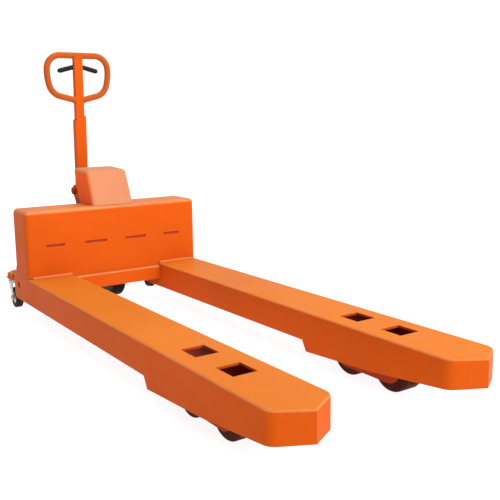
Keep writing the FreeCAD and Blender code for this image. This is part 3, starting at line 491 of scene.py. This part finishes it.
def weld(name, points, radius, body, coat=None, pitch=4.5 * MM):
    """A hand-laid bead along a path: overlapping ripples of slightly uneven height."""
    route = [Vector(point) for point in points]
    lengths = [(after - before).length for before, after in zip(route, route[1:])]
    steps = max(6, int(sum(lengths) / pitch * 4))
    form = bmesh.new()
    rings = []
    for step in range(steps + 1):
        along = sum(lengths) * step / steps
        leg = 0
        while leg < len(lengths) - 1 and along > lengths[leg]:
            along -= lengths[leg]
            leg += 1
        heading = (route[leg + 1] - route[leg]).normalized()
        centre = route[leg] + heading * along
        ripple = 1 + 0.10 * abs(math.sin(math.pi * step / 4)) + 0.05 * dice.uniform(-1, 1)
        end = 0.55 if step in (0, steps) else 1
        rings.append(ring_of(form, pose(centre, heading), radius * ripple * end, 0, 10))
    bridge(form, rings)
    form.faces.new(rings[0])
    form.faces.new(rings[-1])
    return piece(name, form, "orange_paint", body, math.radians(80), coat)


def middle(node):
    """The centre of a CAD node's box."""
    low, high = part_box(node)
    return (low + high) / 2


# ---- the fine pieces ----

def frame_welds():
    """Beads where the box stands on the forks and where the crossbar meets them."""
    bead, fine_bead = 7 * MM, 3 * MM
    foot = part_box("battery_box")[0].y - 1 * MM
    low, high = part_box("crossbar")
    for name, side in SIDES.items():
        fork_low, fork_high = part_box(f"fork_{name}")
        inner, outer = sorted((fork_low.x, fork_high.x), key=abs)
        top = fork_high.z + 1 * MM
        # the beads at the foot of the box carry a painted highlight
        weld(f"box_weld_{name}", [(inner + side * 6 * MM, foot, top),
                                  (outer - side * 18 * MM, foot, top)],
             bead, "lift_frame", "bead_highlight_paint", bead)
        corner = inner - side * 0.5 * MM
        weld(f"crossbar_weld_{name}", [(corner, low.y + 0.5 * MM, high.z - 8 * MM),
                                       (corner, low.y + 0.5 * MM, low.z + 4 * MM)],
             fine_bead, "lift_frame")


def tiller_point(x, y, z):
    """A point given in the upright tiller, moved to where the tiller leans."""
    foot = Vector(JOINTS["tiller_tilt"]["pos_m"])
    up = (Vector(JOINTS["throttle_turn"]["pos_m"]) - foot).normalized()
    return foot + X * x + up.cross(X) * y + up * (z - foot.z)


def tiller_welds():
    """Beads where the loop meets the column and where the column leaves the post."""
    half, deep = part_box("tiller_column")[1].x, 14 * MM
    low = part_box("tiller_loop")[0].z + 15 * MM
    saddle_bead, collar_bead = 2.4 * MM, 2.2 * MM
    for name, side in SIDES.items():
        form = bmesh.new()
        heading = Vector((side * 0.965, 0, 0.26))
        turned(form, tiller_point(side * (half + 1.2 * MM), 0, low + 1 * MM), heading,
               in_mm((14, 7), (15.8, 5), (17.5, 2), (17, 0)), 32)
        piece(f"loop_weld_{name}", form, "orange_paint", "tiller", math.radians(60))
    for tag, way in (("front", -1), ("back", 1)):
        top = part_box("tiller_column")[1].z - 1.5 * MM
        weld(f"saddle_weld_{tag}", [tiller_point(-half, way * 14.2 * MM, top),
                                    tiller_point(half, way * 14.2 * MM, top)], saddle_bead, "tiller")
    level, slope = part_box("tiller_post")[1].z - 9.5 * MM, 20 / 55
    corners = [(-half, -deep), (half, -deep), (half, deep), (-half, deep), (-half, -deep)]
    route = [tiller_point(x, y, level + slope * x) for x, y in corners]
    weld("collar_weld", route, collar_bead, "tiller")


def wheel_bearings(name):
    """A sealed ball bearing, its seal and a circlip in both faces of a load wheel."""
    width, outer, half_shaft = 75 * MM, 26 * MM, 12.5 * MM
    seal = outer * 0.86
    centre = middle(name)
    for tag, side in SIDES.items():
        form = bmesh.new()
        base = centre + X * side * (width / 2 - 4.2 * MM)
        turned(form, base, X * side, [(outer, 0), (outer, 2.4 * MM), (outer - 1 * MM, 3 * MM),
                                      (seal, 3 * MM), (seal, 2.2 * MM), (half_shaft * 1.45, 2.2 * MM),
                                      (half_shaft * 1.4, 3 * MM), (half_shaft * 1.05, 3 * MM),
                                      (half_shaft * 1.05, 0)], 48)
        piece(f"{name}_bearing_{tag}", form, "pin_steel", name)


def bogie_fittings():
    """Round lock plates at both wheel axles, on both faces of each bogie."""
    for name, side in SIDES.items():
        low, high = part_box(f"bogie_{name}")
        centre = (low + high) / 2
        for outward in (1, -1):
            face = centre.x + outward * (high.x - low.x) / 2
            form = bmesh.new()
            for end in ("front", "rear"):
                wheel = middle(f"{end}_roller_{name}")
                spot = Vector((face - outward * 0.2 * MM, wheel.y, wheel.z))
                turned(form, spot, X * outward, in_mm((17, 0), (17, 1.4), (12, 1.5)), 36)
            tag = "outer" if outward == side else "inner"
            piece(f"bogie_caps_{name}_{tag}", form, "pin_steel", f"bogie_{name}")


def clusters(node, reach=20 * MM):
    """The boxes of the separate small solids of a CAD node."""
    groups = []
    for vertex in NODES[node].data.vertices:
        for group in groups:
            if (group[0] - vertex.co).length < reach:
                group.append(vertex.co.copy())
                break
        else:
            groups.append([vertex.co.copy()])
    return [(Vector(map(min, zip(*group))), Vector(map(max, zip(*group)))) for group in groups]


def fasteners(node, slot, socket):
    """Real screw heads in place of the plain discs of a CAD node."""
    form = bmesh.new()
    axis = Z if node == "pad_bolts" else Y
    for low, high in clusters(node):
        centre = (low + high) / 2
        height = (high - low).dot(axis)
        spot = centre - axis * height / 2
        across = ((high - low).length_squared - height ** 2) ** 0.5
        radius = across / math.sqrt(8)    # across is the diagonal of a square round the head
        if socket:
            screw_head(form, spot, axis, radius, height, dice.uniform(0, 1))
        else:
            hex_head(form, spot, axis, radius * 1.5, height, dice.uniform(0, 1))
    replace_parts(piece(f"{node}_detail", form, slot, BODY_OF[node]), node)


def block(centre, size):
    """A plain block as a draft of a piece."""
    form = bmesh.new()
    bmesh.ops.create_cube(form, size=1)
    form.transform(Matrix.Translation(centre) @ Matrix.Diagonal((*size, 1)))
    return form


def slot_shade_strip():
    """The dark painted strip behind the slots of the box, a painted shade inside the slots."""
    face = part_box("battery_box")[0].y
    slots_height, strip = 345 * MM, (0.70, 1.2 * MM, 0.034)
    form = block((0, face + 6.2 * MM, slots_height), strip)
    piece("slot_shade_strip", form, "red_paint", "lift_frame")


def castor_fittings():
    """Top plate, ball race, axle bolt and nut, and hub rings of each castor."""
    for name in SIDES:
        swivel, spin = JOINTS[f"castor_{name}_swivel"], JOINTS[f"castor_wheel_{name}_spin"]
        post, hub, axle = Vector(swivel["pos_m"]), Vector(spin["pos_m"]), Vector(spin["axis"])
        form = block(post + Z * 14.2 * MM, (0.074, 0.080, 4 * MM))
        upright = []
        for edge in form.edges:
            foot, head = edge.verts
            if abs((foot.co - head.co).z) > 1 * MM:
                upright.append(edge)
        bmesh.ops.bevel(form, geom=upright, offset=9 * MM, segments=4, affect="EDGES")
        piece(f"castor_plate_{name}", form, "zinc", "chassis")
        form = bmesh.new()
        turned(form, post, Z, in_mm((24.3, 0.5), (29, 2), (30, 5), (26.5, 6), (29.5, 7), (28, 11),
                                    (24.3, 11.3)), 56)
        piece(f"castor_race_{name}", form, "zinc", f"castor_yoke_{name}")
        form = bmesh.new()
        for way in (1, -1):
            hex_head(form, hub + axle * way * 22.8 * MM, axle * way, 17 * MM, 9 * MM, 0.3)
        piece(f"castor_nuts_{name}", form, "zinc", f"castor_yoke_{name}")
        form = bmesh.new()
        for way in (1, -1):
            turned(form, hub + axle * way * 12.8 * MM, axle * way,
                   in_mm((29.5, 0), (29.5, 1.4), (27, 2), (14, 0.8), (13, 4), (9, 4.1), (9, 0)), 48)
        piece(f"castor_hub_{name}", form, "pin_steel", f"castor_wheel_{name}")


def hub_fittings():
    """Wheel nuts and a domed cap on each drive wheel."""
    for name, side in SIDES.items():
        low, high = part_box(f"drive_hub_{name}")
        centre = (low + high) / 2
        face = high.x if side > 0 else -low.x
        form = bmesh.new()
        nuts, reach = 5, 45 * MM
        for nut in range(nuts):
            angle = math.tau * nut / nuts
            spot = Vector((side * (face - 1 * MM), centre.y + reach * math.cos(angle),
                           centre.z + reach * math.sin(angle)))
            hex_head(form, spot - X * side * 14 * MM, X * side, 17 * MM, 9 * MM, 0.4 * nut)
        turned(form, Vector((side * (face - 3 * MM), centre.y, centre.z)), X * side,
               in_mm((24, -6), (24, 0), (20, 2.2), (8, 3.4), (0, 3.4)), 48)
        piece(f"hub_fittings_{name}", form, "zinc", f"drive_wheel_{name}")


def pivot_fittings():
    """Domed caps and grease nipples on both ends of the tiller's pivot bolt."""
    low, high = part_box("pivot_bolt")
    centre = (low + high) / 2
    form = bmesh.new()
    for way in (1, -1):
        spot = Vector((way * (high.x - 0.4 * MM), centre.y, centre.z))
        turned(form, spot, X * way, in_mm((19, 0), (17.5, 1.6), (8, 2.4), (5, 2.4), (4, 5), (2.6, 5.4),
                                          (3.2, 7.4), (0, 8)), 44)
    piece("pivot_caps", form, "red_paint", "drive_unit")


def ram_seals():
    """A wiper seal round each ram and a hexagon nut at each end of the pressure pipe."""
    form = bmesh.new()
    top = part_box("lift_cylinders")[1].z
    for low, high in clusters("lift_rams", 0.3):
        centre = (low + high) / 2
        turned(form, Vector((centre.x, centre.y, top - 0.2 * MM)), Z,
               in_mm((27, 0), (25, 3.5), (17.5, 4.5), (16.4, 6), (16.2, 0)), 48)
    piece("ram_seals", form, "black_plastic", "chassis")
    low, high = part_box("pressure_pipe")
    form = bmesh.new()
    back = high.y - (high.z - low.z) / 2
    for side in SIDES.values():
        spot = Vector((side * (high.x - 22 * MM), back, (low.z + high.z) / 2))
        hex_head(form, spot, X * side, 17 * MM, 15 * MM)
    piece("pipe_nuts", form, "zinc", "chassis")


def control_caps():
    """Crowned caps on the three switches of the column."""
    for name, slot in (("lower_button", "grey_button"), ("lift_button", "green_button"),
                       ("horn_button", "yellow_button")):
        low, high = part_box(name)
        outward = -Vector(JOINTS[f"{name}_press"]["axis"])
        radius, deep = (high.x - low.x) / 2, 13 * MM
        form = bmesh.new()
        turned(form, (low + high) / 2 - outward * deep / 2, outward,
               [(0, 0), (radius, 0), (radius, deep - 1.6 * MM), (radius * 0.88, deep - 0.3 * MM),
                (radius * 0.5, deep - 0.9 * MM), (0, deep - 1.2 * MM)], 40)
        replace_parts(piece(f"{name}_cap", form, slot, name), name)


def stop_mushroom():
    """The mushroom head of the stop button."""
    low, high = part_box("stop_button")
    centre = (low + high) / 2
    form = bmesh.new()
    deep = high.y - low.y
    turned(form, Vector((centre.x, low.y, centre.z)), Y,
           [(0, 0), (6 * MM, 0), (6 * MM, deep - 13 * MM), (14 * MM, deep - 12.5 * MM),
            (18.6 * MM, deep - 9 * MM), (19 * MM, deep - 6 * MM), (16.5 * MM, deep - 1.6 * MM),
            (10 * MM, deep - 0.3 * MM), (0, deep)], 56)
    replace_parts(piece("stop_mushroom", form, "red_button", "stop_button"), "stop_button")


def lever_ribs():
    """Grip ribs along both thumb levers."""
    ribs = 7
    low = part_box("thumb_levers")[0].z + 11 * MM
    root = Vector(JOINTS["throttle_turn"]["pos_m"]).z
    for name, side in SIDES.items():
        start = tiller_point(side * 45 * MM, 0, root - (root - low) * 0.26)
        tip = tiller_point(side * 88 * MM, 0, root - (root - low) * 0.92)
        heading = (tip - start).normalized()
        form = bmesh.new()
        for rib in range(ribs):
            turned(form, start + (tip - start) * rib / (ribs - 1), heading,
                   in_mm((10.6, -1.6), (11.9, -0.6), (11.9, 0.6), (10.6, 1.6)), 36)
        piece(f"lever_ribs_{name}", form, "black_plastic", "throttle")


camera()
studio()
dress_nodes()
frame_welds()
tiller_welds()
slot_shade_strip()
for node, slot, socket in (("cover_screws", "zinc", True), ("cowl_screws", "zinc", True),
                           ("pad_bolts", "zinc", False)):
    fasteners(node, slot, socket)
castor_fittings()
hub_fittings()
pivot_fittings()
ram_seals()
control_caps()
stop_mushroom()
lever_ribs()
bogie_fittings()
for side in SIDES:
    for end in ("front", "rear"):
        wheel_bearings(f"{end}_roller_{side}")
